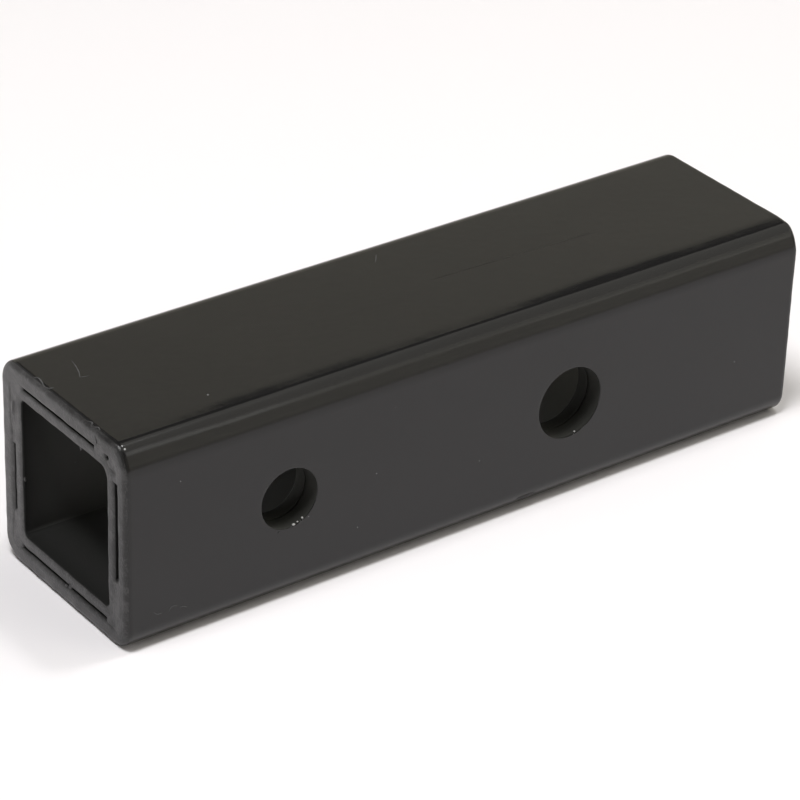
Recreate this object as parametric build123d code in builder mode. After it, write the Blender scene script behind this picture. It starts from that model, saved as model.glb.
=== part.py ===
"""Hitch receiver adapter: a square steel tube with a square sleeve welded inside it.

The outer tube slides into a two inch receiver and is held there by the large
cross pin. The sleeve inside it is the socket for a one and a quarter inch ball
mount, held by the small cross pin near the mouth. The sleeve stops just short
of the outer tube's ends, and short welds in the seam join the two there.

The adapter lies on its bottom face. X runs along the tube with the mouth at
the negative end, Y runs across it and Z is up. The origin is under the middle
of the bottom face. All sizes are in millimetres.
"""

from build123d import *
import os

os.makedirs("parts", exist_ok=True)

# Outer tube, two inches square with a three sixteenths wall
length = 188.0
outer_size = 50.8
outer_wall = 4.76
outer_corner = 5.4
outer_bore_corner = 1.6
end_round = 1.5

# Sleeve, a one eighth wall tube that slides into the outer tube
sleeve_wall = 3.18
sleeve_corner = 4.2
sleeve_bore_corner = 1.2
sleeve_clearance = 0.2
sleeve_setback = 0.5
mouth_round = 0.8

# Cross pin holes, drilled through both tubes. The large one sits a little low.
small_pin_hole = 14.7
small_pin_from_mouth = 42.2
large_pin_hole = 17.8
large_pin_from_mouth = 120.2
large_pin_drop = 0.8
hole_rim_bevel = 0.1

# Seam welds, ground flush with the ends of the sleeve
outer_seam_bevel = 0.8
sleeve_seam_bevel = 1.0
weld_depth = 1.8

# How far a cut runs past the metal that it removes
cut_margin = 0.6

# Open stretches that the welds leave in the seam. Each is the side that it lies
# on, the place of its middle along that side and its length. The side is an
# angle about the tube's axis: 0 is the top, 90 the near side, 180 the bottom and
# 270 the far side. Places count from the middle of the side, anticlockwise as
# seen from the mouth.
mouth_gaps = [
    (0, 2.1, 27.3),
    (90, 3.4, 22.6),
    (180, -8.6, 17.5),
    (180, 9.5, 12.7),
    (270, 3.7, 15.4),
]
rear_gap_length = 22.0
rear_gaps = [(side_angle, 0, rear_gap_length) for side_angle in (0, 90, 180, 270)]

# Worked out from the sizes above
axis_height = outer_size / 2
mouth_x = -length / 2
rear_x = length / 2
outer_bore = outer_size - 2 * outer_wall
sleeve_size = outer_bore - 2 * sleeve_clearance
sleeve_bore = sleeve_size - 2 * sleeve_wall
sleeve_mouth_x = mouth_x + sleeve_setback
sleeve_rear_x = rear_x - sleeve_setback
seam_middle = (outer_bore + sleeve_size) / 4
seam_reach = sleeve_clearance + 2 * (max(outer_seam_bevel, sleeve_seam_bevel) + cut_margin)
pin_holes = [
    (mouth_x + small_pin_from_mouth, axis_height, small_pin_hole),
    (mouth_x + large_pin_from_mouth, axis_height - large_pin_drop, large_pin_hole),
]


def tube_section(size, corner, bore, bore_corner):
    """Square ring centred on the tube's axis, drawn in the current sketch."""
    with Locations((0, axis_height)):
        RectangleRounded(size, size, corner)
        RectangleRounded(bore, bore, bore_corner, mode=Mode.SUBTRACT)


def drill_pin_holes():
    """Both cross pin holes, straight through the current tube along Y."""
    with BuildSketch(Plane.XZ) as holes:
        for hole_x, hole_height, diameter in pin_holes:
            with Locations((hole_x, hole_height)):
                Circle(diameter / 2)
    extrude(holes.sketch, amount=outer_size, both=True, mode=Mode.SUBTRACT)


def cut_seam_gap(end_x, side_angle, middle, gap_length):
    """Cut one open stretch out of the weld ring at this end."""
    end_plane = Plane(origin=(end_x, 0, axis_height), x_dir=(0, 1, 0), z_dir=(1, 0, 0))
    with BuildSketch(end_plane.rotated((side_angle, 0, 0))) as opening:
        with Locations((middle, seam_middle)):
            Rectangle(gap_length, seam_reach)
    extrude(opening.sketch, amount=weld_depth + cut_margin, both=True, mode=Mode.SUBTRACT)


def weld_ring(end_x, inward):
    """Ring of weld metal between the tubes, flush with the sleeve's end at end_x."""
    with BuildSketch(Plane.YZ.offset(end_x)) as ring:
        tube_section(outer_size - outer_wall, outer_bore_corner, sleeve_size - sleeve_wall, sleeve_bore_corner)
    extrude(ring.sketch, amount=inward * weld_depth)
    add(outer_tube.part, mode=Mode.SUBTRACT)
    add(sleeve.part, mode=Mode.SUBTRACT)


# Outer tube

with BuildPart() as outer_tube:
    with BuildSketch(Plane.YZ.offset(mouth_x)):
        tube_section(outer_size, outer_corner, outer_bore, outer_bore_corner)
    extrude(amount=length)
    end_faces = outer_tube.faces().filter_by(Axis.X)
    rims = [face.outer_wire().edges() for face in end_faces]
    seam_edges = [face.inner_wires()[0].edges() for face in end_faces]
    fillet(rims[0] + rims[1], end_round)
    chamfer(seam_edges[0] + seam_edges[1], outer_seam_bevel)
    drill_pin_holes()
    sides = outer_tube.faces().filter_by(Axis.Y).sort_by(Axis.Y)
    hole_rims = sides[0].inner_wires() + sides[-1].inner_wires()
    chamfer([rim.edges() for rim in hole_rims], hole_rim_bevel)

# Sleeve inside the outer tube

with BuildPart() as sleeve:
    with BuildSketch(Plane.YZ.offset(sleeve_mouth_x)):
        tube_section(sleeve_size, sleeve_corner, sleeve_bore, sleeve_bore_corner)
    extrude(amount=length - 2 * sleeve_setback)
    end_faces = sleeve.faces().filter_by(Axis.X)
    seam_edges = [face.outer_wire().edges() for face in end_faces]
    rims = [face.inner_wires()[0].edges() for face in end_faces]
    chamfer(seam_edges[0] + seam_edges[1], sleeve_seam_bevel)
    fillet(rims[0] + rims[1], mouth_round)
    drill_pin_holes()

# Weld metal in the seam at the mouth

with BuildPart() as mouth_weld:
    weld_ring(sleeve_mouth_x, 1)
    for gap in mouth_gaps:
        cut_seam_gap(sleeve_mouth_x, *gap)

# Weld metal in the seam at the rear end

with BuildPart() as rear_weld:
    weld_ring(sleeve_rear_x, -1)
    for gap in rear_gaps:
        cut_seam_gap(sleeve_rear_x, *gap)

outer_tube.part.label = "outer_tube"
sleeve.part.label = "sleeve"
mouth_weld.part.label = "mouth_weld"
rear_weld.part.label = "rear_weld"

export_step(outer_tube.part, "parts/outer_tube.step")
export_step(sleeve.part, "parts/sleeve.step")
export_step(mouth_weld.part, "parts/mouth_weld.step")
export_step(rear_weld.part, "parts/rear_weld.step")
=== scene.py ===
"""Dressed model of a hitch receiver adapter, a short square steel tube painted gloss black.

The adapter is an outer tube with a square sleeve inside it. Two cross pin holes go
through both, and short welds in the seam join them at the ends. The scene is in
metres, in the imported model's own frame: X runs along the tube with the mouth at the
negative end, Y runs across it from the near side to the far side, and Z is up. The
adapter's sizes and its paint marks are written in millimetres.
"""

import logging
import math
from collections.abc import Callable
from dataclasses import dataclass
from enum import Enum

import bmesh
import bpy
import numpy as np
from mathutils import Matrix


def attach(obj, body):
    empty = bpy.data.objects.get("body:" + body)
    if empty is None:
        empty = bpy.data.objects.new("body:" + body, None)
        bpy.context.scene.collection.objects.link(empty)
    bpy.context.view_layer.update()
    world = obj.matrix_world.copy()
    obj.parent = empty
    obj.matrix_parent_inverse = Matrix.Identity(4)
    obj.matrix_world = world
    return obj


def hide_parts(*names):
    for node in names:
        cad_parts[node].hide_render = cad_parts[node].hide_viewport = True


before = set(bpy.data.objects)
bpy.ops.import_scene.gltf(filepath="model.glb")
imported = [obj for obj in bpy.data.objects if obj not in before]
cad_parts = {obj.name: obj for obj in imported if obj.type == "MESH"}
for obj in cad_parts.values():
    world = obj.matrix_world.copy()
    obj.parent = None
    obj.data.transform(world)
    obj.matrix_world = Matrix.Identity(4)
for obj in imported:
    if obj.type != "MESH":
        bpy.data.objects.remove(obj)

log = logging.getLogger("hitch_adapter")

MM = 0.001
BODY = "root"

# A place, a direction or a linear colour, and an input or output of a node
Triple = tuple[float, float, float]
Socket = bpy.types.NodeSocket

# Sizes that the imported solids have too, in millimetres
LENGTH = 188.0
MOUTH_X = -LENGTH / 2
REAR_X = LENGTH / 2
AXIS_HEIGHT = 25.4

# How far the sleeve's dressed skin stands back from the ends, and the distance within
# which two places are one, in millimetres
SLEEVE_SETBACK = 0.25
SAME_PLACE = 0.01


@dataclass(frozen=True)
class PinHole:
    """Cross pin hole: place along the tube, height and radius, in millimetres."""

    x: float
    height: float
    radius: float


PIN_HOLES = (
    PinHole(MOUTH_X + 42.2, AXIS_HEIGHT, 14.7 / 2),
    PinHole(MOUTH_X + 120.2, AXIS_HEIGHT - 0.8, 17.8 / 2),
)


class Side(Enum):
    """Side of the square tube, in the order in which a loop round it meets them."""

    NEAR = 0
    TOP = 1
    FAR = 2
    BOTTOM = 3

    @property
    def outward(self) -> np.ndarray:
        """Direction out of the side, as (y, z)."""
        return np.array(((-1.0, 0.0), (0.0, 1.0), (1.0, 0.0), (0.0, -1.0))[self.value])

    @property
    def along(self) -> np.ndarray:
        """Direction in which a loop runs along the side, as (y, z)."""
        return np.array(((0.0, 1.0), (1.0, 0.0), (0.0, -1.0), (-1.0, 0.0))[self.value])


class Slot(Enum):
    """Material slots of the record."""

    BLACK_PAINT = "black_paint"
    SLEEVE_PAINT = "sleeve_paint"
    WELD_PAINT = "weld_paint"


# Noise and mesh tools


def ripple(points: np.ndarray, wavelength: float, seed: int, waves: int = 14) -> np.ndarray:
    """Smooth seeded noise: the mean of sine waves that run in random directions.

    Each wave is sin(2 pi (p . d) / length + phase), with its length within a third
    of the one asked for, and the sum is scaled to a spread of about one.

    Args:
        points: Places, as rows of x, y and z.
        wavelength: Typical length of a wave, in the points' unit.
        seed: Seed of the directions, lengths and phases.
        waves: How many waves are added up.

    Returns:
        One value a point, mostly between -1 and 1.
    """
    rng = np.random.default_rng(seed)
    direction = rng.normal(size=(waves, 3))
    direction /= np.linalg.norm(direction, axis=1, keepdims=True)
    length = wavelength * rng.uniform(0.7, 1.4, waves)
    phase = rng.uniform(0.0, 2 * np.pi, waves)
    angle = points @ (direction / length[:, None]).T * 2 * np.pi + phase
    return np.sin(angle).sum(axis=1) / math.sqrt(waves / 2) * 0.7


def bell(distance: np.ndarray, reach: float) -> np.ndarray:
    """Round bump: exp(-(distance / reach) squared)."""
    return np.exp(-((distance / reach) ** 2))


def ease(value: np.ndarray, low: float, high: float) -> np.ndarray:
    """Smooth step from 0 at low to 1 at high: 3 t squared minus 2 t cubed."""
    t = np.clip((value - low) / (high - low), 0.0, 1.0)
    return t * t * (3.0 - 2.0 * t)


@dataclass(frozen=True)
class Ripples:
    """Smooth seeded noise over a surface, in millimetres."""

    height: float
    wavelength: float
    seed: int

    def at(self, points: np.ndarray) -> np.ndarray:
        """Heights at these places: the height times the noise."""
        return self.height * ripple(points, self.wavelength, self.seed)


@dataclass(frozen=True)
class EndWear:
    """Unevenness of the painted ends, in millimetres.

    Both tubes and the welds share it, so that they stay level with each other.
    """

    depth: float = 0.07
    least: float = 0.005
    slow: Ripples = Ripples(0.035, 7.0, seed=11)
    fine: Ripples = Ripples(0.03, 3.2, seed=12)
    full_within: float = 1.2
    none_past: float = 4.0

    def recess(self, place: np.ndarray) -> np.ndarray:
        """How far the ends lie below flat.

        It is a mean depth plus slow and finer ripples over Y and Z, at full strength
        on the ends, with a smooth step to none a few millimetres inside them.

        Args:
            place: Places, as rows of x, y and z.

        Returns:
            Shifts along X, inwards at either end.
        """
        x = place[:, 0]
        section = place * (0.0, 1.0, 1.0)
        depth = self.depth + self.slow.at(section) + self.fine.at(section)
        at_end = ease(np.abs(x), REAR_X - self.none_past, REAR_X - self.full_within)
        return -np.sign(x) * at_end * np.maximum(depth, self.least)


END_WEAR = EndWear()


class Patchwork:
    """Grids of points that are joined where their edges meet, to make one mesh.

    Every row of a grid is a closed loop, so its last point joins its first.
    """

    def __init__(self) -> None:
        """Start with no grids."""
        self.points: list[np.ndarray] = []
        self.quads: list[np.ndarray] = []
        self.inside: list[np.ndarray] = []
        self.count = 0

    def add(self, grid: np.ndarray, closed_rows: bool = False, keep: np.ndarray | None = None,
            inside: np.ndarray | None = None) -> None:
        """Add one grid of points, with a quad between each four neighbours.

        Args:
            grid: Points in millimetres, shaped (rows, columns, 3).
            closed_rows: Whether the last row joins the first.
            keep: Mask of the quads to keep, or None for all of them.
            inside: One value a row, 1 where it lies inside the tube, or None for 0.
        """
        rows, columns = grid.shape[:2]
        index = np.arange(rows * columns).reshape(rows, columns) + self.count
        below = np.roll(index, -1, axis=0)
        beside = np.roll(index, -1, axis=1)
        corner = np.roll(below, -1, axis=1)
        quads = np.stack((index, beside, corner, below), axis=-1)
        if not closed_rows:
            quads = quads[:-1]
        self.points.append(grid.reshape(-1, 3))
        self.inside.append(np.repeat(np.zeros(rows) if inside is None else inside, columns))
        self.quads.append(quads[keep] if keep is not None else quads.reshape(-1, 4))
        self.count += rows * columns

    def mesh(self, name: str) -> bpy.types.Mesh:
        """Join points that share a place and make the mesh, with its faces turned outwards.

        Args:
            name: Name of the mesh.

        Returns:
            A smooth shaded mesh in metres.
        """
        points = np.concatenate(self.points)
        quads = np.concatenate(self.quads)
        _, first, joined = np.unique(np.round(points, 4), axis=0, return_index=True,
                                     return_inverse=True)
        quads = joined.reshape(-1)[quads]
        level = np.sort(quads, axis=1)
        distinct = 1 + (np.diff(level, axis=1) > 0).sum(axis=1)
        faces = quads[distinct == 4].tolist()
        for face in quads[distinct == 3].tolist():
            faces.append(list(dict.fromkeys(face)))
        mesh = bpy.data.meshes.new(name)
        mesh.from_pydata(points[first] * MM, [], faces)
        work = bmesh.new()
        work.from_mesh(mesh)
        bmesh.ops.recalc_face_normals(work, faces=work.faces)
        work.to_mesh(mesh)
        work.free()
        mesh.polygons.foreach_set("use_smooth", np.ones(len(mesh.polygons), bool))
        inside = mesh.attributes.new("inside", "FLOAT", "POINT")
        inside.data.foreach_set("value", np.concatenate(self.inside)[first].astype(np.float32))
        mesh.update()
        return mesh


def sculpt(mesh: bpy.types.Mesh, height: Callable[[np.ndarray, np.ndarray], np.ndarray],
           recess: Callable[[np.ndarray], np.ndarray]) -> None:
    """Move each vertex along its normal by a height field, and along the tube by another.

    Args:
        mesh: Mesh in metres, changed in place.
        height: Function of places and normals, as rows, that gives millimetres.
        recess: Function of places that gives millimetres along the tube.
    """
    count = len(mesh.vertices)
    place = np.empty(count * 3)
    normal = np.empty(count * 3)
    mesh.vertices.foreach_get("co", place)
    mesh.vertex_normals.foreach_get("vector", normal)
    place, normal = place.reshape(-1, 3) / MM, normal.reshape(-1, 3)
    moved = place + normal * height(place, normal)[:, None]
    moved[:, 0] += recess(place)
    mesh.vertices.foreach_set("co", (moved * MM).ravel())
    mesh.update()


def add_object(name: str, data: bpy.types.ID) -> bpy.types.Object:
    """Put a new object with this data into the scene."""
    item = bpy.data.objects.new(name, data)
    bpy.context.scene.collection.objects.link(item)
    return item


def place_piece(mesh: bpy.types.Mesh, slot: Slot, material: bpy.types.Material,
                *nodes: str) -> bpy.types.Object:
    """Put a mesh into the scene as a finished piece that rides on the adapter.

    Args:
        mesh: The piece's mesh, in its place.
        slot: The record's material slot for the piece; not used.
        material: Its material.
        *nodes: CAD nodes that it stands for.

    Returns:
        The new object.
    """
    piece = add_object(mesh.name, mesh)
    mesh.materials.append(material)
    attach(piece, BODY)
    if nodes:
        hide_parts(*nodes)
    return piece


# Loops round the tube


@dataclass(frozen=True)
class Corner:
    """Rounded corner of a square section, in millimetres.

    Skew makes its bend tighter at the start, and snap makes it tighter at both ends.
    """

    radius: float
    skew: float = 0.0
    snap: float = 0.0

    def path(self, turns: int) -> np.ndarray:
        """Path of a quarter turn.

        The heading turns by 90 (s + skew s (1 - s) + snap sin(2 pi s) / 2 pi) degrees,
        with s from 0 to 1 along the bend, and the path is the sum of short steps in the
        heading's direction.

        Args:
            turns: How many steps it has.

        Returns:
            Distances forwards and inwards, as rows.
        """
        s = np.linspace(0.0, 1.0, turns + 1)
        snap = self.snap * np.sin(2 * np.pi * s) / (2 * np.pi)
        heading = np.pi / 2 * (s + self.skew * s * (1.0 - s) + snap)
        middle = (heading[1:] + heading[:-1]) / 2
        step = np.stack((np.cos(middle), np.sin(middle)), axis=1) * (np.pi / 2 / turns)
        return np.concatenate((np.zeros((1, 2)), np.cumsum(step, axis=0))) * self.radius


@dataclass(frozen=True)
class Weave:
    """How the points of a loop are shared out round a square section."""

    reach: float
    cells: int
    margin_cells: int
    turns: int
    support: float = 0.18

    @property
    def side_count(self) -> int:
        """Points on one flat side, both of its ends among them."""
        return self.cells + 2 * self.margin_cells + 3

    @property
    def period(self) -> int:
        """Points on one side and the corner after it."""
        return self.side_count + self.turns - 1

    @property
    def patch_start(self) -> int:
        """Place of the first point of the even stretch within a side."""
        return self.margin_cells + 1

    def flat(self, start: float, end: float) -> np.ndarray:
        """Places along a flat side: even cells in the middle and a close pair at each end."""
        left = np.linspace(start + self.support, -self.reach, self.margin_cells + 1)
        middle = np.linspace(-self.reach, self.reach, self.cells + 1)
        right = np.linspace(self.reach, end - self.support, self.margin_cells + 1)
        return np.concatenate(([start], left, middle[1:-1], right, [end]))


def square_loop(half: float, corners: tuple[Corner, ...], weave: Weave) -> np.ndarray:
    """Rounded square round the tube's axis: four flats, each with the bend after it.

    Args:
        half: Half of the square's width, in millimetres.
        corners: Bends after the near, top, far and bottom sides.
        weave: How the points are shared out.

    Returns:
        Rows of y and z, in millimetres.
    """
    bends = [corner.path(weave.turns) for corner in corners]
    parts = []
    for side in Side:
        before, after = bends[side.value - 1], bends[side.value]
        places = weave.flat(-(half - before[-1, 1]), half - after[-1, 0])
        parts.append(side.outward * half + places[:, None] * side.along)
        path = after[1:-1]
        ahead = half - after[-1, 0] + path[:, :1]
        parts.append(side.along * ahead + side.outward * (half - path[:, 1:]))
    loop = np.concatenate(parts)
    loop[:, 1] += AXIS_HEIGHT
    return loop


@dataclass(frozen=True)
class EndProfile:
    """Shape of a tube's end across its wall: a quarter ellipse at each edge, in millimetres."""

    outer_width: float
    outer_depth: float
    inner_width: float
    inner_depth: float
    steps: int = 6
    land_steps: int = 5

    def trace(self, wall: float, scale: np.ndarray) -> tuple[np.ndarray, np.ndarray]:
        """Outline from the outer edge to the inner one, for each point round the tube.

        Each edge is width (1 - cos a) across and depth (1 - sin a) down, with a from
        0 to 90 degrees, and the land between them is flat.

        Args:
            wall: Thickness of the wall.
            scale: Size of the inner edge's rounding at each point, as a multiple.

        Returns:
            Shares of the wall, from 0 outside to 1 inside, and depths below the end,
            both shaped (steps, points).
        """
        a = np.linspace(0.0, np.pi / 2, self.steps + 1)[:, None]
        ones = np.ones_like(scale)[None]
        outer = self.outer_width * (1 - np.cos(a)) * ones, self.outer_depth * (1 - np.sin(a)) * ones
        inner_width = self.inner_width * scale[None]
        inner = (wall - inner_width * (1 - np.cos(a[::-1])),
                 self.inner_depth * scale[None] * (1 - np.sin(a[::-1])))
        step = np.linspace(0.0, 1.0, self.land_steps + 1)[1:-1, None]
        land = self.outer_width * (1 - step) + (wall - inner_width) * step
        across = np.concatenate((outer[0], land, inner[0]))
        depth = np.concatenate((outer[1], np.zeros_like(land), inner[1]))
        return across / wall, depth


@dataclass(frozen=True)
class SquareTube:
    """Square tube with rounded ends and two cross pin holes through its near and far sides."""

    name: str
    half: float
    wall: float
    corners: tuple[Corner, ...]
    bore_corners: tuple[Corner, ...]
    mouth_x: float
    rear_x: float
    end: EndProfile
    weave: Weave
    rim: float
    near_edge: float = 1.0
    near_fade: float = 4.0
    enclosed: bool = False
    spacing: float = 2.0
    bore_spacing: float = 4.0
    patch_spacing: float = 1.0
    support: float = 0.2
    bore_inset: float = 0.15
    closing_steps: int = 14
    closing_power: float = 1.6
    rim_steps: int = 4
    bore_steps: int = 6

    @property
    def bore_half(self) -> float:
        """Half of the bore's width."""
        return self.half - self.wall

    def stations(self, start: float, end: float, spacing: float) -> np.ndarray:
        """Places of the loops along a side: even stretches between the pin holes' patches.

        Args:
            start: First place, in millimetres.
            end: Last place.
            spacing: Distance between loops outside the patches, at most about this.

        Returns:
            The places, from start to end.
        """
        reach = self.weave.reach
        stops = [start, start + self.support]
        for hole in PIN_HOLES:
            stops += [hole.x - reach, hole.x + reach]
        stops += [end - self.support, end]
        places = [np.array([start])]
        for low, high in zip(stops[:-1], stops[1:]):
            on_patch = any(abs((low + high) / 2 - hole.x) < SAME_PLACE for hole in PIN_HOLES)
            count = max(1, round((high - low) / (self.patch_spacing if on_patch else spacing)))
            places.append(np.linspace(low, high, count + 1)[1:])
        return np.concatenate(places)

    def patch_mask(self, places: np.ndarray) -> np.ndarray:
        """Quads of a side's grid that lie outside the pin holes' patches, as (rows, columns)."""
        weave = self.weave
        columns = np.arange(4 * weave.period)
        within = columns % weave.period
        side = columns // weave.period
        on_side = (side == Side.NEAR.value) | (side == Side.FAR.value)
        beyond = within - weave.patch_start
        on_patch = on_side & (beyond >= 0) & (beyond < weave.cells)
        middle = (places[1:] + places[:-1]) / 2
        in_hole = np.zeros(len(middle), bool)
        for hole in PIN_HOLES:
            in_hole |= np.abs(middle - hole.x) < weave.reach
        return ~(in_hole[:, None] & on_patch[None, :])

    def hole_grid(self, places: np.ndarray, hole: PinHole,
                  side: Side) -> tuple[np.ndarray, np.ndarray]:
        """Wall round one pin hole, from a square patch outside to one inside.

        A ring of points starts on the square's edge, closes on to the hole's circle
        along straight rays, goes over the rim in a quarter round, down the hole and
        back out to the same square on the inner wall. Its share of the way to the
        circle is 1 - (1 - t) to the closing power, with t in even steps from 0 to 1.

        Args:
            places: Places of the loops along the side.
            hole: The pin hole.
            side: The side that it goes through.

        Returns:
            Points shaped (rings, points round the hole, 3), and 1 for each ring that
            lies inside the tube.
        """
        reach = self.weave.reach
        across = np.linspace(-reach, reach, self.weave.cells + 1)
        columns = places[np.abs(places - hole.x) < reach + SAME_PLACE] - hole.x
        edge = np.concatenate((
            np.stack((columns[:-1], np.full(len(columns) - 1, -reach)), axis=1),
            np.stack((np.full(len(across) - 1, reach), across[:-1]), axis=1),
            np.stack((columns[:0:-1], np.full(len(columns) - 1, reach)), axis=1),
            np.stack((np.full(len(across) - 1, -reach), across[:0:-1]), axis=1),
        ))
        middle = np.array([0.0, (hole.height - AXIS_HEIGHT) * side.along[1]])
        ray = (edge - middle) / np.linalg.norm(edge - middle, axis=1, keepdims=True)
        steps = np.linspace(0.0, 1.0, self.closing_steps + 1)
        closing = (1 - (1 - steps) ** self.closing_power)[:, None, None]
        face = edge * (1 - closing) + (middle + ray * (hole.radius + self.rim)) * closing
        turn = np.linspace(0.0, np.pi / 2, self.rim_steps + 1)[1:]
        rim = middle + ray * (hole.radius + self.rim * (1 - np.sin(turn)))[:, None, None]
        depth = np.linspace(self.rim, self.wall, self.bore_steps + 1)[1:]
        bore = np.repeat((middle + ray * hole.radius)[None], self.bore_steps, axis=0)
        back = edge * (1 - closing[::-1]) + (middle + ray * hole.radius) * closing[::-1]
        flat = np.concatenate((face, rim, bore, back[1:]))
        sink = np.concatenate((np.zeros(len(face)), self.rim * (1 - np.cos(turn)), depth,
                               np.full(len(back) - 1, self.wall)))
        grid = np.empty(flat.shape[:2] + (3,))
        grid[..., 0] = hole.x + flat[..., 0]
        out = (self.half - sink)[:, None, None]
        grid[..., 1:] = side.outward * out + flat[..., 1:] * side.along
        grid[..., 2] += AXIS_HEIGHT
        first_inside = 0 if self.enclosed else len(face) + len(rim) - 1
        return grid, (np.arange(len(flat)) >= first_inside).astype(float)

    def edge_scale(self, loop: np.ndarray) -> np.ndarray:
        """Size of the inner edge's rounding round a loop: near_edge on the near side, else 1."""
        beside = -loop[:, 0] - np.abs(loop[:, 1] - AXIS_HEIGHT)
        return 1.0 + (self.near_edge - 1.0) * ease(beside, -self.near_fade, self.near_fade)

    def mesh(self) -> bpy.types.Mesh:
        """Closed skin: outer side, rear end, bore and mouth end, with the pin holes' walls.

        A loop round the tube is carried along the outline of its wall, so the skin is a
        grid of loops, and square patches of it give way to the grids round the holes.

        Returns:
            The mesh, in metres.
        """
        outer = square_loop(self.half, self.corners, self.weave)
        inner = square_loop(self.bore_half, self.bore_corners, self.weave)
        end_share, depth = self.end.trace(self.wall, self.edge_scale(outer))
        outside = self.stations(self.mouth_x + depth[0, 0], self.rear_x - depth[0, 0], self.spacing)
        inside = self.stations(self.mouth_x + depth.max() + self.bore_inset,
                               self.rear_x - depth.max() - self.bore_inset, self.bore_spacing)
        ones = np.ones(len(outer))
        share = np.concatenate((np.zeros((len(outside), len(outer))), end_share[1:],
                                np.ones((len(inside), len(outer))), end_share[:0:-1]))
        along = np.concatenate((outside[:, None] * ones, self.rear_x - depth[1:],
                                inside[::-1, None] * ones, self.mouth_x + depth[:0:-1]))
        grid = np.empty((len(share), len(outer), 3))
        grid[..., 0] = along
        grid[..., 1:] = outer[None] * (1 - share)[..., None] + inner[None] * share[..., None]
        keep = np.ones(grid.shape[:2], bool)
        keep[: len(outside) - 1] = self.patch_mask(outside)
        first = len(outside) + len(end_share) - 1
        keep[first:first + len(inside) - 1] = self.patch_mask(inside[::-1])
        within = share.max(axis=1) > 0.93
        if self.enclosed:
            within |= share[:, 0] < 0.04
        work = Patchwork()
        work.add(grid, closed_rows=True, keep=keep, inside=within.astype(float))
        for hole in PIN_HOLES:
            for side in (Side.NEAR, Side.FAR):
                wall, within = self.hole_grid(outside, hole, side)
                work.add(wall, inside=within)
        return work.mesh(self.name)


# Paint


class Nodes:
    """Adds nodes to one shader tree and links them."""

    def __init__(self, tree: bpy.types.NodeTree) -> None:
        """Work on this tree."""
        self.tree = tree

    def feed(self, socket: Socket, value: object) -> None:
        """Link an output to a socket, or set a number, a vector or a linear colour on it."""
        if isinstance(value, Socket):
            self.tree.links.new(value, socket)
        else:
            socket.default_value = (*value, 1.0) if socket.type == "RGBA" else value

    def new(self, kind: str, **inputs: object) -> bpy.types.Node:
        """Add a node of this kind and feed the inputs that are named."""
        node = self.tree.nodes.new(kind)
        for label, value in inputs.items():
            self.feed(node.inputs[label], value)
        return node

    def math(self, operation: str, *values: object, clamp: bool = False) -> Socket:
        """Result of a Math node on sockets or numbers, held between 0 and 1 if clamped."""
        node = self.new("ShaderNodeMath")
        node.operation, node.use_clamp = operation, clamp
        for socket, value in zip(node.inputs, values):
            self.feed(socket, value)
        return node.outputs["Value"]

    def mix(self, share: Socket, first: object, second: object) -> Socket:
        """Colour between two, each a socket or a linear colour, by a share from 0 to 1."""
        node = self.new("ShaderNodeMix")
        node.data_type = "RGBA"
        for place, value in ((0, share), (6, first), (7, second)):
            self.feed(node.inputs[place], value)
        return node.outputs[2]

    def noise(self, where: Socket, scale: float, detail: float, rough: float) -> Socket:
        """Value of a noise texture at these coordinates."""
        node = self.new("ShaderNodeTexNoise", Vector=where, Scale=scale, Detail=detail,
                        Roughness=rough)
        return node.outputs["Fac"]

    def group(self, tree: bpy.types.NodeTree, **inputs: object) -> Socket:
        """Result of a shared group on these inputs."""
        node = self.new("ShaderNodeGroup")
        node.node_tree = tree
        for label, value in inputs.items():
            self.feed(node.inputs[label], value)
        return node.outputs[0]

    def coordinates(self) -> tuple[Socket, Socket, Socket, Socket]:
        """Object coordinates, and their X, Y and Z apart."""
        where = self.new("ShaderNodeTexCoord").outputs["Object"]
        return where, *self.new("ShaderNodeSeparateXYZ", Vector=where).outputs


def new_material(name: str) -> tuple[bpy.types.Material, Nodes, bpy.types.Node]:
    """Make a material, and give it with its nodes and its Principled shader."""
    material = bpy.data.materials.new(name)
    material.use_nodes = True
    return material, Nodes(material.node_tree), material.node_tree.nodes["Principled BSDF"]


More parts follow.
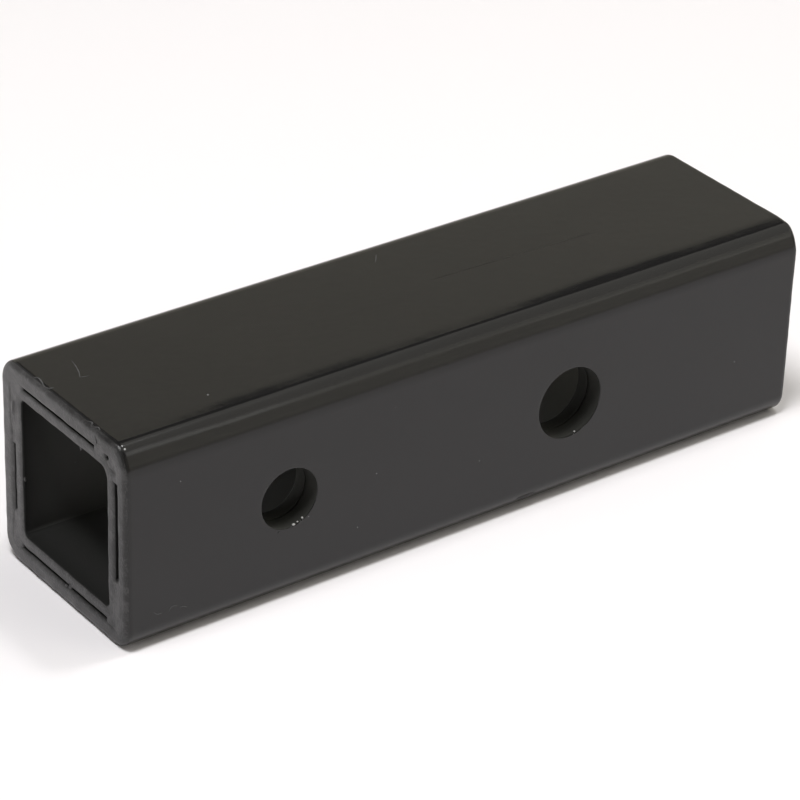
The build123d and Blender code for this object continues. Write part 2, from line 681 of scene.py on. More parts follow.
class PaintGroups:
    """Shader node groups that all the paints share, each built once."""

    def __init__(self) -> None:
        """Build the groups."""
        self.peel = self.build_peel()
        self.specks = self.build_specks()
        self.drift = self.build_drift()

    @staticmethod
    def start(name: str, result: str, *numbers: str) -> tuple[Nodes, dict[str, Socket], Socket]:
        """Make a group with a Vector and some numbers as inputs, and one number as output.

        Args:
            name: Name of the group.
            result: Name of its output.
            *numbers: Names of the numbers that it is given.

        Returns:
            Its nodes, what it is given by name, and the socket that takes its result.
        """
        tree = bpy.data.node_groups.new(name, "ShaderNodeTree")
        tree.interface.new_socket(name="Vector", in_out="INPUT", socket_type="NodeSocketVector")
        for label in numbers:
            tree.interface.new_socket(name=label, in_out="INPUT", socket_type="NodeSocketFloat")
        tree.interface.new_socket(name=result, in_out="OUTPUT", socket_type="NodeSocketFloat")
        given = tree.nodes.new("NodeGroupInput").outputs
        made = tree.nodes.new("NodeGroupOutput").inputs
        return Nodes(tree), {label: given[label] for label in ("Vector", *numbers)}, made[result]

    def build_peel(self) -> bpy.types.NodeTree:
        """Orange peel of sprayed paint with finer grain on it, as a height."""
        nodes, given, height = self.start("Paint_Peel", "Height", "Peel", "Grain")
        broad = nodes.noise(given["Vector"], 420.0, 2.0, 0.5)
        fine = nodes.noise(given["Vector"], 2600.0, 2.0, 0.6)
        broad = nodes.math("MULTIPLY", broad, given["Peel"])
        fine = nodes.math("MULTIPLY", fine, given["Grain"])
        nodes.feed(height, nodes.math("ADD", broad, fine))
        return nodes.tree

    def build_specks(self) -> bpy.types.NodeTree:
        """Scattered dust specks, as a mask that is 1 on a speck."""
        nodes, given, mask = self.start("Paint_Specks", "Mask", "Scale", "Share")
        cells = nodes.new("ShaderNodeTexVoronoi", Vector=given["Vector"], Scale=given["Scale"],
                          Randomness=1.0).outputs
        chance = nodes.new("ShaderNodeSeparateColor", Color=cells["Color"]).outputs
        radius = nodes.math("MULTIPLY", chance["Green"], 0.05)
        inside = nodes.math("LESS_THAN", cells["Distance"], radius)
        chosen = nodes.math("LESS_THAN", chance["Red"], given["Share"])
        nodes.feed(mask, nodes.math("MULTIPLY", inside, chosen))
        return nodes.tree

    def build_drift(self) -> bpy.types.NodeTree:
        """Slow change of tone with faint streaks along the tube, as values round zero."""
        nodes, given, tone = self.start("Paint_Drift", "Value", "Blotch", "Streak")
        squeezed = nodes.new("ShaderNodeMapping", Vector=given["Vector"], Scale=(0.12, 4.0, 4.0))
        blotch = nodes.noise(given["Vector"], 38.0, 4.0, 0.55)
        streak = nodes.noise(squeezed.outputs["Vector"], 60.0, 3.0, 0.6)
        blotch = nodes.math("MULTIPLY", nodes.math("SUBTRACT", blotch, 0.5), given["Blotch"])
        streak = nodes.math("MULTIPLY", nodes.math("SUBTRACT", streak, 0.5), given["Streak"])
        nodes.feed(tone, nodes.math("ADD", blotch, streak))
        return nodes.tree


@dataclass(frozen=True)
class PaintFinish:
    """Gloss black paint. Colours are linear, lengths in metres and shares from 0 to 1."""

    name: str
    colour: Triple = (0.0066, 0.0062, 0.0064)
    light_colour: Triple = (0.012, 0.0115, 0.0118)
    drift_gain: float = 3.0
    drift_middle: float = 0.4
    roughness: float = 0.13
    roughness_drift: float = 0.5
    ior: float = 1.43
    specular: float = 0.5
    blotch: float = 0.14
    streak: float = 0.10
    peel: float = 1.0
    grain: float = 0.15
    bump_distance: float = 0.02 * MM
    dust_colour: Triple = (0.16, 0.16, 0.165)
    speck_scale: float = 210.0
    speck_share: float = 0.2
    # The ends' colours: the lighter one stands partly for thinner paint on the sawn ends and partly
    # for painted reflection
    end_colour: Triple = (0.010, 0.0098, 0.0098)
    end_light_colour: Triple = (0.090, 0.088, 0.089)
    end_roughness: float = 0.36
    end_grain: float = 0.9
    end_bump: float = 4.0
    end_reach: float = 1.3 * MM
    end_fade: float = 0.6 * MM
    end_span: float = 50 * MM
    mottle_gain: float = 4.0
    mottle_share: float = 0.4
    # Share of the lighter end colour that grows towards the far side, a painted reflection
    far_painted_sheen_share: float = 0.5
    # Colours inside: painted light that lifts the bore's shade and grows paler with depth, and the
    # pin holes' own colour
    inside_painted_lift_colour: Triple = (0.013, 0.013, 0.0125)
    deep_painted_light_colour: Triple = (0.230, 0.230, 0.220)
    hole_colour: Triple = (0.048, 0.048, 0.044)
    inside_roughness: float = 0.6
    inside_specular: float = 0.12
    deep_reach: float = 35 * MM
    floor_power: float = 1.6
    bore_half: float = 17.33 * MM
    bore_margin: float = 0.5 * MM
    mouth_reach: float = 6 * MM

    def build(self, groups: PaintGroups) -> bpy.types.Material:
        """Make the material.

        Base colour drifts between two blacks, turns to the lighter colour of the sawn
        ends, which is partly thinner paint and partly painted reflection, and to a paler
        colour inside, painted light that lifts the bore's shade, and carries dust specks.
        An end is where the distance to it along the tube is under its reach, with a short
        fade.

        Args:
            groups: The shared shader groups.

        Returns:
            The material.
        """
        material, nodes, shader = new_material(self.name)
        where, x, y, z = nodes.coordinates()
        to_end = nodes.math("SUBTRACT", REAR_X * MM, nodes.math("ABSOLUTE", x))
        end = nodes.math("SUBTRACT", self.end_reach, to_end)
        end = nodes.math("DIVIDE", end, self.end_fade, clamp=True)
        inner = nodes.new("ShaderNodeAttribute")
        inner.attribute_name = "inside"
        inner = inner.outputs["Fac"]
        grain = nodes.math("MULTIPLY_ADD", end, self.end_grain, self.grain)
        peel = nodes.group(groups.peel, Vector=where, Peel=self.peel, Grain=grain)
        specks = nodes.group(groups.specks, Vector=where, Scale=self.speck_scale,
                             Share=self.speck_share)
        drift = nodes.group(groups.drift, Vector=where, Blotch=self.blotch, Streak=self.streak)

        tone = nodes.math("MULTIPLY_ADD", drift, self.drift_gain, self.drift_middle, clamp=True)
        paint = nodes.mix(tone, self.colour, self.light_colour)
        paint = nodes.mix(end, paint, self.end_paint(nodes, peel, y))
        paint = nodes.mix(inner, paint, self.inside_paint(nodes, to_end, y, z))
        nodes.feed(shader.inputs["Base Color"], nodes.mix(specks, paint, self.dust_colour))

        rough = nodes.math("MULTIPLY", drift, self.roughness_drift)
        rough = nodes.math("ADD", rough, self.roughness)
        end_more = nodes.math("MULTIPLY", end, self.end_roughness - self.roughness)
        inside_more = nodes.math("MULTIPLY", inner, self.inside_roughness - self.roughness)
        rough = nodes.math("ADD", rough, nodes.math("MAXIMUM", end_more, inside_more))
        nodes.feed(shader.inputs["Roughness"], rough)
        specular = nodes.math("MULTIPLY_ADD", inner, self.inside_specular - self.specular,
                              self.specular)
        nodes.feed(shader.inputs["Specular IOR Level"], specular)
        nodes.feed(shader.inputs["IOR"], self.ior)

        height = nodes.math("MULTIPLY", peel, nodes.math("MULTIPLY_ADD", end, self.end_bump, 1.0))
        bump = nodes.new("ShaderNodeBump", Height=height, Distance=self.bump_distance, Strength=1.0)
        nodes.feed(shader.inputs["Normal"], bump.outputs["Normal"])
        return material

    def end_paint(self, nodes: Nodes, peel: Socket, y: Socket) -> Socket:
        """Colour of the two ends, partly thinner paint and partly painted reflection.

        Its share of the lighter colour is a part of the peel's height, stretched and
        clamped, plus a part that grows evenly from the near side to the far side, which is
        painted reflection: lighter on the far side, darker on the near side.

        Args:
            nodes: The material's nodes.
            peel: Height of the orange peel.
            y: Place across the tube.

        Returns:
            The colour.
        """
        mottle = nodes.math("MULTIPLY_ADD", peel, self.mottle_gain, -self.mottle_gain, clamp=True)
        # Painted reflection: the end lighter towards the far side, darker towards the near side
        far_painted_sheen = nodes.math("MULTIPLY_ADD", y, 1.0 / self.end_span, 0.5, clamp=True)
        share = nodes.math("ADD", nodes.math("MULTIPLY", mottle, self.mottle_share),
                           nodes.math("MULTIPLY", far_painted_sheen, self.far_painted_sheen_share))
        return nodes.mix(share, self.end_colour, self.end_light_colour)

    def inside_paint(self, nodes: Nodes, to_end: Socket, y: Socket, z: Socket) -> Socket:
        """Colour of the inside, paler than the outside as painted light: its own in the pin
        holes, and paler still deep in the bore, painted light where its shade is deepest.

        The bore gets lighter with the distance from the end, and its floor with a
        power of that distance, as painted light against the falling light inside.

        Args:
            nodes: The material's nodes.
            to_end: Distance along the tube to the nearer end.
            y: Place across the tube.
            z: Height.

        Returns:
            The colour.
        """
        # Painted light: the bore paler the farther it lies from the end
        floor_height = AXIS_HEIGHT * MM - self.bore_half + self.bore_margin
        low = nodes.math("LESS_THAN", z, floor_height)
        power = nodes.math("MULTIPLY_ADD", low, self.floor_power - 1.0, 1.0)
        depth = nodes.math("DIVIDE", to_end, self.deep_reach, clamp=True)
        bore = nodes.mix(nodes.math("POWER", depth, power), self.inside_painted_lift_colour, self.deep_painted_light_colour)
        in_bore = nodes.math("LESS_THAN", nodes.math("ABSOLUTE", y), self.bore_half)
        at_mouth = nodes.math("LESS_THAN", to_end, self.mouth_reach)
        return nodes.mix(nodes.math("MAXIMUM", in_bore, at_mouth), self.hole_colour, bore)


# The adapter's pieces

# Factors on a place that draw noise out along the tube
ALONG_TUBE = (1.0, 0.1, 0.1)


@dataclass(frozen=True)
class RollOff:
    """Fall of the top towards its near bend, as cold rolled tube has, in millimetres."""

    depth: float = 0.3
    start: float = 18.0
    end: float = 21.4
    strength: float = 0.4
    front_strength: float = 0.15
    front_x: float = -46.0
    front_reach: float = 16.0
    rear_strength: float = 0.8
    rear_start: float = -5.0
    rear_full: float = 40.0
    mouth_start: float = -92.0
    mouth_full: float = -66.0
    waves: Ripples = Ripples(0.12, 14.0, seed=8)

    def depth_at(self, place: np.ndarray, normal: np.ndarray) -> np.ndarray:
        """How far the surface lies below the flat top.

        It is a smooth step across the top and the upper part of the bend, times its
        strength along the tube: none at the mouth, a mean one with a round bump on it
        in the front half, and more by a smooth step in the rear half. The strength has
        ripples on it, drawn out along the tube.

        Args:
            place: Places in millimetres, as rows.
            normal: Outward directions, as rows.

        Returns:
            Depths in millimetres.
        """
        x = place[:, 0]
        strength = self.strength + self.front_strength * bell(x - self.front_x, self.front_reach)
        strength = strength + self.rear_strength * ease(x, self.rear_start, self.rear_full)
        strength = strength * ease(x, self.mouth_start, self.mouth_full)
        strength = strength * (1.0 + self.waves.at(place * ALONG_TUBE))
        across = ease(-place[:, 1], self.start, self.end) * ease(normal[:, 2], 0.2, 0.95)
        return self.depth * strength * across


@dataclass
class OuterTube:
    """The two inch tube that goes into the receiver."""

    material: bpy.types.Material
    shape: SquareTube = SquareTube(
        name="outer_tube_skin",
        half=25.4,
        wall=4.76,
        corners=(Corner(6.0, skew=-0.7, snap=0.5), Corner(5.4), Corner(5.4), Corner(5.4)),
        bore_corners=(Corner(1.6),) * 4,
        mouth_x=MOUTH_X,
        rear_x=REAR_X,
        end=EndProfile(1.5, 1.5, 1.25, 1.25),
        weave=Weave(reach=16.0, cells=40, margin_cells=4, turns=20),
        rim=0.22,
        near_edge=1.85,
    )
    sink: float = 0.03
    flat_waves: Ripples = Ripples(0.015, 38.0, seed=3)
    bend_waves: Ripples = Ripples(0.016, 7.0, seed=9)
    bend_y: float = -21.0
    bend_reach: float = 1.3
    bend_bottom: float = 47.0
    roll_off: RollOff = RollOff()

    def relief(self, place: np.ndarray, normal: np.ndarray) -> np.ndarray:
        """Height of the skin, never above the CAD box.

        It is slow waves on the flats, finer ones in a strip along the top of the near
        bend, and the roll off beside it.

        Args:
            place: Places in millimetres, as rows.
            normal: Outward directions, as rows.

        Returns:
            Heights in millimetres.
        """
        flats = self.flat_waves.at(place) - self.sink
        on_bend = (place[:, 2] > self.bend_bottom) & (normal[:, 2] > 0.5)
        strip = bell(place[:, 1] - self.bend_y, self.bend_reach) * on_bend
        waves = strip * self.bend_waves.at(place * ALONG_TUBE)
        return flats + waves - self.roll_off.depth_at(place, normal)

    def build(self) -> bpy.types.Object:
        """Make the tube's skin and put it in place of the CAD node."""
        mesh = self.shape.mesh()
        sculpt(mesh, self.relief, END_WEAR.recess)
        return place_piece(mesh, Slot.BLACK_PAINT, self.material, "outer_tube")


@dataclass
class Sleeve:
    """The square sleeve that makes the smaller socket."""

    material: bpy.types.Material
    shape: SquareTube = SquareTube(
        name="sleeve_skin",
        half=20.44,
        wall=3.18,
        corners=(Corner(4.2),) * 4,
        bore_corners=(Corner(2.6), Corner(1.2), Corner(1.2), Corner(1.2)),
        mouth_x=MOUTH_X + SLEEVE_SETBACK,
        rear_x=REAR_X - SLEEVE_SETBACK,
        end=EndProfile(1.1, 0.5, 1.4, 0.7),
        weave=Weave(reach=14.0, cells=34, margin_cells=3, turns=12),
        rim=0.05,
        enclosed=True,
    )
    sink: float = 0.01
    flat_waves: Ripples = Ripples(0.01, 25.0, seed=5)
    edge_lumps: Ripples = Ripples(0.04, 4.2, seed=21)
    lumps_within: float = 1.0
    no_lumps_past: float = 4.0
    edge_start: float = 17.4
    edge_end: float = 19.4

    def relief(self, place: np.ndarray, normal: np.ndarray) -> np.ndarray:
        """Height of the skin: faint waves, and lumps of paint round the opening's edge.

        The lumps are at full strength at the ends and near the bore, with smooth steps
        to none farther in and farther out.

        Args:
            place: Places in millimetres, as rows.
            normal: Outward directions, as rows, which it doesn't depend on.

        Returns:
            Heights in millimetres.
        """
        at_end = ease(np.abs(place[:, 0]), REAR_X - self.no_lumps_past, REAR_X - self.lumps_within)
        off_axis = np.abs(place[:, 1:] - (0.0, AXIS_HEIGHT)).max(axis=1)
        at_edge = 1.0 - ease(off_axis, self.edge_start, self.edge_end)
        return self.flat_waves.at(place) - self.sink + at_end * at_edge * self.edge_lumps.at(place)

    def build(self) -> bpy.types.Object:
        """Make the sleeve's skin and put it in place of the CAD node."""
        mesh = self.shape.mesh()
        sculpt(mesh, self.relief, END_WEAR.recess)
        return place_piece(mesh, Slot.SLEEVE_PAINT, self.material, "sleeve")


@dataclass
class SeamWelds:
    """Weld beads in the seam at one end, with open stretches between them."""

    name: str
    node: str
    material: bpy.types.Material
    end_x: float
    inward: float
    gaps: tuple[tuple[Side, float, float], ...]
    pits: tuple[tuple[float, float, float, float], ...] = ()
    seam_half: float = 20.54
    seam_corner: float = 3.0
    outer_reach: float = 3.0
    inner_reach: float = 2.0
    depth: float = 3.2
    taper: float = 1.3
    proud: float = 0.03
    toe: float = 0.06
    dish: float = 0.06
    valley: float = 0.16
    valley_length: float = 5.0
    spacing: float = 0.35
    across_points: int = 27
    toe_share: float = 0.3
    waves: Ripples = Ripples(0.05, 5.0, seed=31)
    below: float = 0.8

    @property
    def side_length(self) -> float:
        """Length of the seam along one side and round the bend after it."""
        return 2 * (self.seam_half - self.seam_corner) + self.seam_corner * np.pi / 2

    def seam(self) -> tuple[np.ndarray, np.ndarray, np.ndarray]:
        """Line of the seam round the tube: a rounded square, in even steps.

        Returns:
            Points and outward directions as rows of y and z, and the distances
            along the line from the middle of the near side.
        """
        flat = self.seam_half - self.seam_corner
        quarter = self.seam_corner * np.pi / 2
        total = 4 * self.side_length
        count = round(total / self.spacing)
        s = np.arange(count) * (total / count)
        side = ((s + flat) // self.side_length).astype(int) % 4
        local = (s + flat) % self.side_length - flat
        turn = np.clip((local - flat) / quarter, 0.0, 1.0) * np.pi / 2
        along = np.stack([item.along for item in Side])[side]
        outward = np.stack([item.outward for item in Side])[side]
        ahead = np.minimum(local, flat) + self.seam_corner * np.sin(turn)
        out = flat + self.seam_corner * np.cos(turn)
        points = along * ahead[:, None] + outward * out[:, None]
        direction = along * np.sin(turn)[:, None] + outward * np.cos(turn)[:, None]
        return points, direction, s

    def sag(self, distance: np.ndarray, total: float) -> tuple[np.ndarray, np.ndarray]:
        """How far the bead lies below full height at each place along the seam.

        Near a gap's end the whole bead sinks by its depth times
        1 - sqrt(1 - (1 - d / taper) squared), with d the distance from that end, so
        that it ends in a rounded nose. Its middle sinks into a shallow valley as well,
        which fades with exp(-d / length).

        Args:
            distance: Distances along the seam.
            total: The seam's whole length.

        Returns:
            Depths of the nose and of the valley, in millimetres.
        """
        nose = np.zeros_like(distance)
        valley = np.zeros_like(distance)
        for side, middle, length in self.gaps:
            start = side.value * self.side_length
            off = np.abs((distance - start - middle + total / 2) % total - total / 2) - length / 2
            share = np.clip(off / self.taper, 0.0, 1.0)
            nose = np.maximum(nose, self.depth * (1.0 - np.sqrt(1.0 - (1.0 - share) ** 2)))
            fade = np.exp(-np.maximum(off, 0.0) / self.valley_length)
            valley = np.maximum(valley, self.valley * fade)
        return nose, valley

    def mesh(self) -> bpy.types.Mesh:
        """Beads as one closed ring of cross sections, sunk below the seam where it is open.

        Each cross section's upper side rises smoothly from the sleeve's end to the
        tube's, a little proud of both, and dips below them at its two toes. It is
        dished by sin squared, lowered by the sag and by round pits, and its lower side
        is flat.

        Returns:
            The mesh, in metres.
        """
        points, outward, s = self.seam()
        total = s[-1] + s[1]
        across = np.linspace(-self.inner_reach, self.outer_reach, self.across_points)
        share = (across + self.inner_reach) / (self.inner_reach + self.outer_reach)
        arch = np.sin(share * np.pi) ** 2
        off_toes = ease(share, 0.0, self.toe_share) * ease(1.0 - share, 0.0, self.toe_share)
        toe = (self.proud + self.toe) * (1.0 - off_toes)
        step = SLEEVE_SETBACK * ease(1.0 - share, 0.1, 0.85)
        lift = step - self.proud + toe + self.dish * arch
        place = np.stack((np.zeros_like(s), points[:, 0], points[:, 1]), axis=1)
        nose, valley = self.sag(s, total)
        dip = (self.waves.at(place) + valley)[:, None] * arch[None, :]
        top = lift[None, :] + dip + nose[:, None]
        under = np.full_like(top, self.depth + self.below)
        down = np.concatenate((top, under[:, ::-1]), axis=1)
        side = np.concatenate((across, across[::-1]))
        grid = np.empty(down.shape + (3,))
        grid[..., 0] = self.end_x + self.inward * down
        grid[..., 1:] = points[:, None, :] + outward[:, None, :] * side[None, :, None]
        grid[..., 2] += AXIS_HEIGHT
        flat = grid.reshape(-1, 3)
        for pit_y, pit_z, pit_depth, pit_reach in self.pits:
            off = np.hypot(flat[:, 1] - pit_y, flat[:, 2] - pit_z)
            flat[:, 0] += self.inward * pit_depth * bell(off, pit_reach)
        flat[:, 0] += END_WEAR.recess(flat)
        work = Patchwork()
        work.add(flat.reshape(grid.shape), closed_rows=True)
        return work.mesh(self.name)

    def build(self) -> bpy.types.Object:
        """Make the beads and put them in place of the CAD node."""
        return place_piece(self.mesh(), Slot.WELD_PAINT, self.material, self.node)


@dataclass(frozen=True)
class Strand:
    """Thin ridge that lies on a surface along a curve, in millimetres."""

    path: tuple[Triple, ...]
    radius: float
    up: Triple = (0.0, 0.0, 1.0)
    height: float = 0.6
    samples: int = 12
    sides: int = 8
    lump: float = 0.2
    lump_rate: float = 23.0

    def centre(self) -> np.ndarray:
        """Smooth line through the path's points.

        Between two points it is the Catmull-Rom cubic of them and their neighbours.

        Returns:
            Points on the line, as rows.
        """
        nodes = np.array(self.path)
        padded = np.concatenate((2 * nodes[:1] - nodes[1:2], nodes, 2 * nodes[-1:] - nodes[-2:-1]))
        u = np.linspace(0.0, len(nodes) - 1.0, (len(nodes) - 1) * self.samples + 1)
        start = np.minimum(u.astype(int), len(nodes) - 2)
        t = (u - start)[:, None]
        a, b, c, d = (padded[start + shift] for shift in range(4))
        return 0.5 * (2 * b + (c - a) * t + (2 * a - 5 * b + 4 * c - d) * t ** 2
                      + (3 * b - a - 3 * c + d) * t ** 3)

    def grid(self) -> np.ndarray:
        """Ellipses along the line, thinner towards both ends by the root of a sine, and lumpy."""
        line = self.centre()
        tangent = np.gradient(line, axis=0)
        up = np.array(self.up) / np.linalg.norm(self.up)
        aside = np.cross(tangent, up)
        aside /= np.linalg.norm(aside, axis=1, keepdims=True)
        share = np.linspace(0.0, 1.0, len(line))
        lumps = 1 + self.lump * np.sin(share * self.lump_rate)
        width = self.radius * np.sqrt(np.clip(np.sin(share * np.pi), 0.0, 1.0)) * lumps
        turn = np.linspace(0.0, 2 * np.pi, self.sides + 1)[:-1, None]
        ring = aside[:, None] * np.cos(turn) + up * (self.height * np.sin(turn))
        return line[:, None] + ring * width[:, None, None]


@dataclass(frozen=True)
class Drop:
    """Small round lump of paint: an ellipsoid with its own radii, in millimetres."""

    place: Triple
    radii: Triple
    steps: int = 8
    sides: int = 12

    def grid(self) -> np.ndarray:
        """Points of the ellipsoid by latitude and longitude, with its poles along Z."""
        latitude = np.linspace(-np.pi / 2, np.pi / 2, self.steps + 1)[:, None]
        longitude = np.linspace(0.0, 2 * np.pi, self.sides + 1)[:-1]
        ball = np.stack((np.cos(latitude) * np.cos(longitude), np.cos(latitude) * np.sin(longitude),
                         np.sin(latitude) * np.ones_like(longitude)), axis=-1)
        return np.array(self.place) + ball * np.array(self.radii)


@dataclass
class SurfaceMarks:
    """Ridges, drops, lint or painted glints of one kind, as one piece."""

    name: str
    slot: Slot
    material: bpy.types.Material
    marks: tuple[Strand | Drop, ...]

    def build(self) -> bpy.types.Object:
        """Make every mark as a closed skin and join them in one mesh."""
        work = Patchwork()
        for mark in self.marks:
            work.add(mark.grid())
        return place_piece(work.mesh(self.name), self.slot, self.material)


# Studio

# The middle of the adapter, which every lamp faces
LAMP_AIM = (0.0, 0.0, 0.025)


@dataclass(frozen=True)
class Lamp:
    """Square softbox that faces the middle of the adapter, in metres."""

    name: str
    place: Triple
    size: float
    radiance: float
    colour: Triple = (1.0, 1.0, 1.0)

    def build(self) -> None:
        """Make the area light. Its power is radiance times pi times its area."""
        data = bpy.data.lights.new(self.name, "AREA")
        data.shape = "SQUARE"
        data.size = self.size
        data.energy = self.radiance * math.pi * self.size ** 2
        data.color = self.colour
        add_object(self.name, data).matrix_world = facing(self.place, LAMP_AIM)


def facing(place: Triple, aim: Triple, roll: float = 0.0) -> Matrix:
    """Matrix of a camera or lamp at a place that looks at a point.

    Args:
        place: Where it stands.
        aim: The point that it looks at.
        roll: Turn about the line of sight, in radians.

    Returns:
        The matrix, with local Z pointing backwards and local Y up.
    """
    sight = np.array(aim) - np.array(place)
    sight /= np.linalg.norm(sight)
    right = np.cross(sight, (0.0, 0.0, 1.0))
    right /= np.linalg.norm(right)
    up = np.cross(right, sight)
    turned_right = right * math.cos(roll) + up * math.sin(roll)
    turned_up = up * math.cos(roll) - right * math.sin(roll)
    matrix = Matrix.Identity(4)
    for row in range(3):
        matrix[row] = (turned_right[row], turned_up[row], -sight[row], place[row])
    return matrix


LAMPS = (
    Lamp("key_softbox", (-0.40, -0.13, 1.44), 0.45, 25.0),
    Lamp("glint_lamp", (0.42, -0.10, 1.43), 0.15, 48.0),
    Lamp("side_softbox", (0.95, -0.447, 1.213), 1.94, 0.77, (1.0, 0.98, 0.89)),
    Lamp("front_fill", (0.85, -1.266, 0.428), 0.70, 0.31, (1.0, 0.98, 0.90)),
    Lamp("kicker", (0.39, -0.866, 0.707), 0.28, 0.75),
    Lamp("mouth_fill", (-1.20, 0.12, 0.22), 0.25, 10.0),
)


@dataclass
class Studio:
    """Pale round floor with a wall that curves up all round, lamps, world and camera, in metres."""

    lamps: tuple[Lamp, ...] = LAMPS
    pole_radius: float = 0.001
    floor_radius: float = 1.3
    floor_steps: int = 20
    bend: float = 0.4
    bend_steps: int = 11
    turns: int = 96
    wall_height: float = 1.26
    floor_colour: Triple = (0.93, 0.905, 0.925)
    wall_colour: Triple = (0.72, 0.70, 0.62)
    dark_wall_colour: Triple = (0.26, 0.255, 0.24)
    wall_start: float = 0.12
    wall_light: float = 2.0
    floor_roughness: float = 0.9
    floor_specular: float = 0.1
    world_colour: Triple = (0.9, 0.9, 0.86)
    world_strength: float = 0.09
    camera_place: Triple = (-0.43586, -0.56970, 0.43666)
    camera_aim: Triple = (-0.00324, 0.00021, 0.02231)
    camera_roll: float = math.radians(1.917)
    camera_lens: float = 161.93
    camera_sensor: float = 36.0

    def build(self) -> None:
        """Make everything that isn't part of the adapter."""
        self.build_floor()
        for lamp in self.lamps:
            lamp.build()
        self.build_world()
        self.build_camera()

    def build_floor(self) -> None:
        """Make the floor: an outline of floor, quarter bend and wall turned round the Z axis.

        Its colour goes evenly from the floor's to the wall's over the lowest heights,
        and the wall's from dark to pale with X times a factor, clamped.
        """
        arc = np.linspace(0.0, np.pi / 2, self.bend_steps + 1)[1:]
        wall_radius = self.floor_radius + self.bend
        flat = np.linspace(self.pole_radius, self.floor_radius, self.floor_steps)
        radius = np.concatenate((flat, self.floor_radius + self.bend * np.sin(arc), [wall_radius]))
        height = np.concatenate((np.zeros_like(flat), self.bend * (1 - np.cos(arc)),
                                 [self.wall_height]))
        turn = np.linspace(0.0, 2 * np.pi, self.turns + 1)[:-1]
        grid = np.stack((radius[:, None] * np.cos(turn), radius[:, None] * np.sin(turn),
                         np.repeat(height[:, None], self.turns, axis=1)), axis=-1)
        work = Patchwork()
        work.add(grid / MM)
        floor = add_object("studio_floor", work.mesh("studio_floor"))
        material, nodes, shader = new_material("Pale_Floor")
        _, x, _, z = nodes.coordinates()
        up = nodes.math("DIVIDE", z, self.wall_start, clamp=True)
        lit = nodes.math("MULTIPLY", x, self.wall_light, clamp=True)
        wall = nodes.mix(lit, self.dark_wall_colour, self.wall_colour)
        nodes.feed(shader.inputs["Base Color"], nodes.mix(up, self.floor_colour, wall))
        nodes.feed(shader.inputs["Roughness"], self.floor_roughness)
        nodes.feed(shader.inputs["Specular IOR Level"], self.floor_specular)
        floor.data.materials.append(material)

    def build_world(self) -> None:
        """Give the world one plain colour."""
        world = bpy.data.worlds.new("Plain_World")
        bpy.context.scene.world = world
        world.use_nodes = True
        background = world.node_tree.nodes["Background"]
        background.inputs["Color"].default_value = (*self.world_colour, 1.0)
        background.inputs["Strength"].default_value = self.world_strength

    def build_camera(self) -> None:
        """Place the camera at the photograph's viewing angle."""
        data = bpy.data.cameras.new("camera")
        data.lens = self.camera_lens
        data.sensor_width = self.camera_sensor
        data.clip_start, data.clip_end = 0.01, 20.0
        camera = add_object("camera", data)
        camera.matrix_world = facing(self.camera_place, self.camera_aim, self.camera_roll)
        bpy.context.scene.camera = camera


FINISHES = (
    PaintFinish("Gloss_Black_Paint"),
    PaintFinish("Sleeve_Paint", roughness=0.24),
    PaintFinish("Weld_Paint", roughness=0.26, grain=0.4),
    # Pale colour of lint, and of highlights painted on paint ridges at the mouth's top edge and in
    # the bore's corner
    PaintFinish("Pale_Lint_And_Glint", (0.06, 0.06, 0.06), (0.12, 0.12, 0.125), roughness=0.6),
    # Pale colour that paints glints of the lamps as dots
    PaintFinish("Painted_Glints", (0.35, 0.35, 0.34), (0.6, 0.6, 0.6), roughness=0.3),
)

# Open stretches of the seam: the side, the place of the middle on it and the length.
# Places count from the side's middle, the way that a loop round the tube runs.
MOUTH_GAPS = (
    (Side.NEAR, 3.4, 22.6),
    (Side.TOP, 2.1, 27.3),
    (Side.FAR, 3.7, 15.4),
    (Side.BOTTOM, -8.6, 17.5),
    (Side.BOTTOM, 9.5, 12.7),
)
REAR_GAPS = tuple((side, 0.0, 22.0) for side in Side)

# Pits in the beads: place as Y and Z, depth and reach
WELD_PITS = ((-17.6, 46.0, 1.1, 0.55), (-20.4, 43.4, 0.35, 0.9), (-2.2, 4.9, 0.3, 0.8))

# Marks in the paint and painted glints, at their places on the adapter
TOP_Z = 2 * AXIS_HEIGHT
SUNK_Z = TOP_Z - 0.03
NEAR_Y = -AXIS_HEIGHT
EDGE_UP = (-0.5, 0.0, 0.87)
NEAR_UP = (0.0, -1.0, 0.0)
MOUTH_UP = (-1.0, 0.0, 0.0)
BORE_UP = (0.0, -0.7, 0.7)
WRINKLES = (
    Strand(((-93.9, -10.4, 49.4), (-93.5, -11.0, 50.1), (-93.8, -12.0, 49.8)), 0.16, EDGE_UP),
    Strand(((-93.95, -13.6, 49.4), (-93.97, -14.2, 48.2), (-93.95, -13.9, 47.2)), 0.18, MOUTH_UP),
    Strand(((-93.95, 20.2, 41.6), (-93.95, 20.4, 39.8), (-93.95, 20.2, 37.6)), 0.3, MOUTH_UP, 0.35),
    Strand(((4.9, 1.1, SUNK_Z), (28.6, 0.3, SUNK_Z), (53.0, -0.8, SUNK_Z)), 0.1, height=0.4),
)
PAINT_DROPS = (
    Drop((-54.6, -25.36, 17.7), (0.35, 0.14, 0.25)),
    Drop((-93.9, -0.9, 4.9), (0.22, 0.45, 0.3)),
    Drop((14.9, -25.0, 3.4), (2.8, 0.2, 0.45)),
)
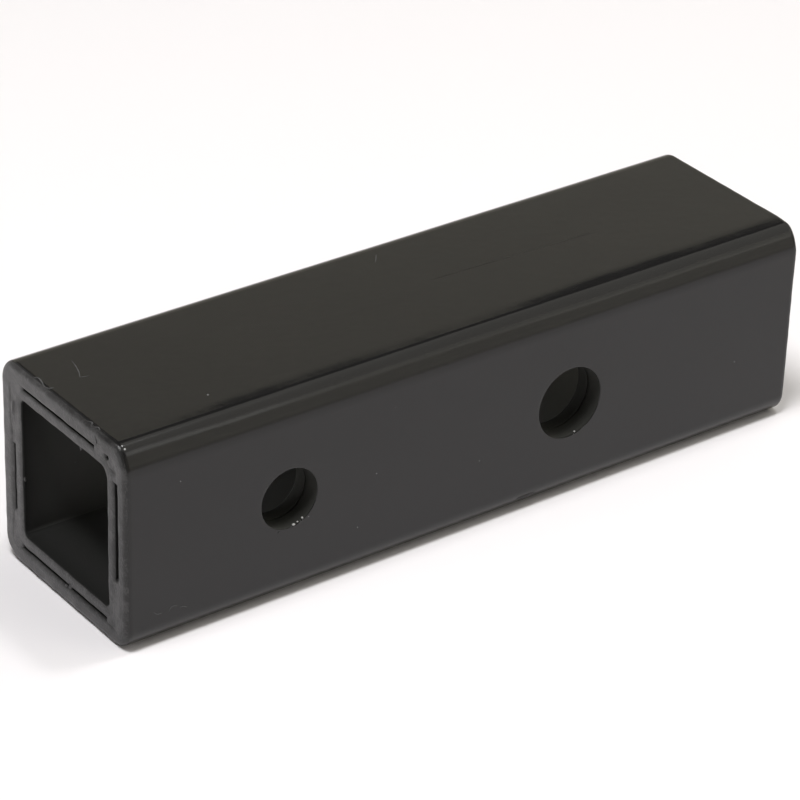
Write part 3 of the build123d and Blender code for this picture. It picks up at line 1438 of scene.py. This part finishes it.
# Painted glints: pale dots where the lamps' highlights fall on the lower rims of the pin holes and
# on the mouth's near top corner
PAINTED_GLINTS = (
    Drop((-50.6, -25.2, 18.3), (0.4, 0.25, 0.26)),
    Drop((-48.2, -25.0, 19.15), (0.24, 0.25, 0.24)),
    Drop((-49.5, -25.1, 18.6), (0.2, 0.2, 0.14)),
    Drop((28.4, -24.9, 16.0), (0.22, 0.25, 0.2)),
    Drop((-92.2, -22.6, 49.85), (0.26, 0.26, 0.26)),
)
SLEEVE_DROPS = (
    Drop((-92.9, -6.6, 42.7), (0.4, 0.6, 0.7)),
    Drop((-92.9, -6.4, 42.1), (0.25, 0.3, 0.45)),
    Drop((-93.0, 17.5, 22.6), (0.35, 0.5, 0.8)),
)
# Lint, with painted highlights: the first two strands, on the mouth's top edge, and the two in the
# bore's lower far corner are paint ridges whose highlight is painted in the pale colour
LINT_AND_PAINTED_GLINTS = (
    Strand(((-93.35, 12.6, 50.48), (-92.5, 11.7, 50.8), (-92.7, 9.6, 50.78), (-93.2, 7.6, 50.6),
            (-92.6, 6.3, 50.8), (-91.7, 6.2, 50.8)), 0.16, EDGE_UP),
    Strand(((-93.65, -8.6, 50.22), (-93.1, -9.8, 50.66), (-92.9, -11.0, 50.74),
            (-93.5, -11.6, 50.38), (-93.2, -12.6, 50.62), (-92.8, -13.4, 50.78),
            (-93.3, -14.9, 50.55)), 0.18, EDGE_UP),
    Strand(((-92.6, 17.1, 8.25), (-91.0, 17.1, 8.25), (-89.6, 17.1, 8.25)), 0.1, BORE_UP),
    Strand(((-88.6, 17.1, 8.25), (-87.0, 17.1, 8.25), (-85.0, 17.1, 8.25)), 0.07, BORE_UP),
    Strand(((-82.5, 14.0, TOP_Z), (-83.0, 11.6, TOP_Z), (-83.8, 9.0, TOP_Z),
            (-84.9, 6.7, TOP_Z)), 0.11),
    Strand(((-84.9, 6.9, TOP_Z), (-84.0, 6.6, TOP_Z), (-82.8, 6.4, TOP_Z)), 0.08),
    Strand(((1.9, 17.9, TOP_Z), (0.7, 16.3, TOP_Z), (-0.6, 14.8, TOP_Z)), 0.1),
    Strand(((-87.2, NEAR_Y, 8.9), (-86.2, NEAR_Y, 8.0), (-84.9, NEAR_Y, 7.9)), 0.08, NEAR_UP),
    Strand(((-83.4, NEAR_Y, 7.6), (-82.4, NEAR_Y, 8.6), (-80.9, NEAR_Y, 8.4)), 0.07, NEAR_UP),
    Strand(((-80.4, NEAR_Y, 7.7), (-79.4, NEAR_Y, 7.6), (-78.5, NEAR_Y, 7.0)), 0.06, NEAR_UP),
)


def main() -> None:
    """Build the adapter and its studio, and log each piece."""
    logging.basicConfig(level=logging.INFO, format="%(name)s: %(message)s")
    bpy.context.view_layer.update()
    groups = PaintGroups()
    paints = [finish.build(groups) for finish in FINISHES]
    tube_paint, sleeve_paint, weld_paint, lint_and_glint_paint, painted_glint_paint = paints
    builders = (
        OuterTube(tube_paint),
        Sleeve(sleeve_paint),
        SeamWelds("mouth_weld_beads", "mouth_weld", weld_paint, MOUTH_X, 1.0, MOUTH_GAPS,
                  WELD_PITS),
        SeamWelds("rear_weld_beads", "rear_weld", weld_paint, REAR_X, -1.0, REAR_GAPS),
        SurfaceMarks("paint_wrinkles", Slot.BLACK_PAINT, tube_paint, WRINKLES + PAINT_DROPS),
        SurfaceMarks("sleeve_paint_drops", Slot.SLEEVE_PAINT, sleeve_paint, SLEEVE_DROPS),
        SurfaceMarks("lint_and_painted_glints", Slot.BLACK_PAINT, lint_and_glint_paint, LINT_AND_PAINTED_GLINTS),
        SurfaceMarks("painted_glint_flecks", Slot.BLACK_PAINT, painted_glint_paint, PAINTED_GLINTS),
    )
    for builder in builders:
        piece = builder.build()
        log.info("%s: %d faces", piece.name, len(piece.data.polygons))
    Studio().build()
    bpy.context.scene.view_settings.view_transform = "Standard"


if __name__ == "__main__":
    main()
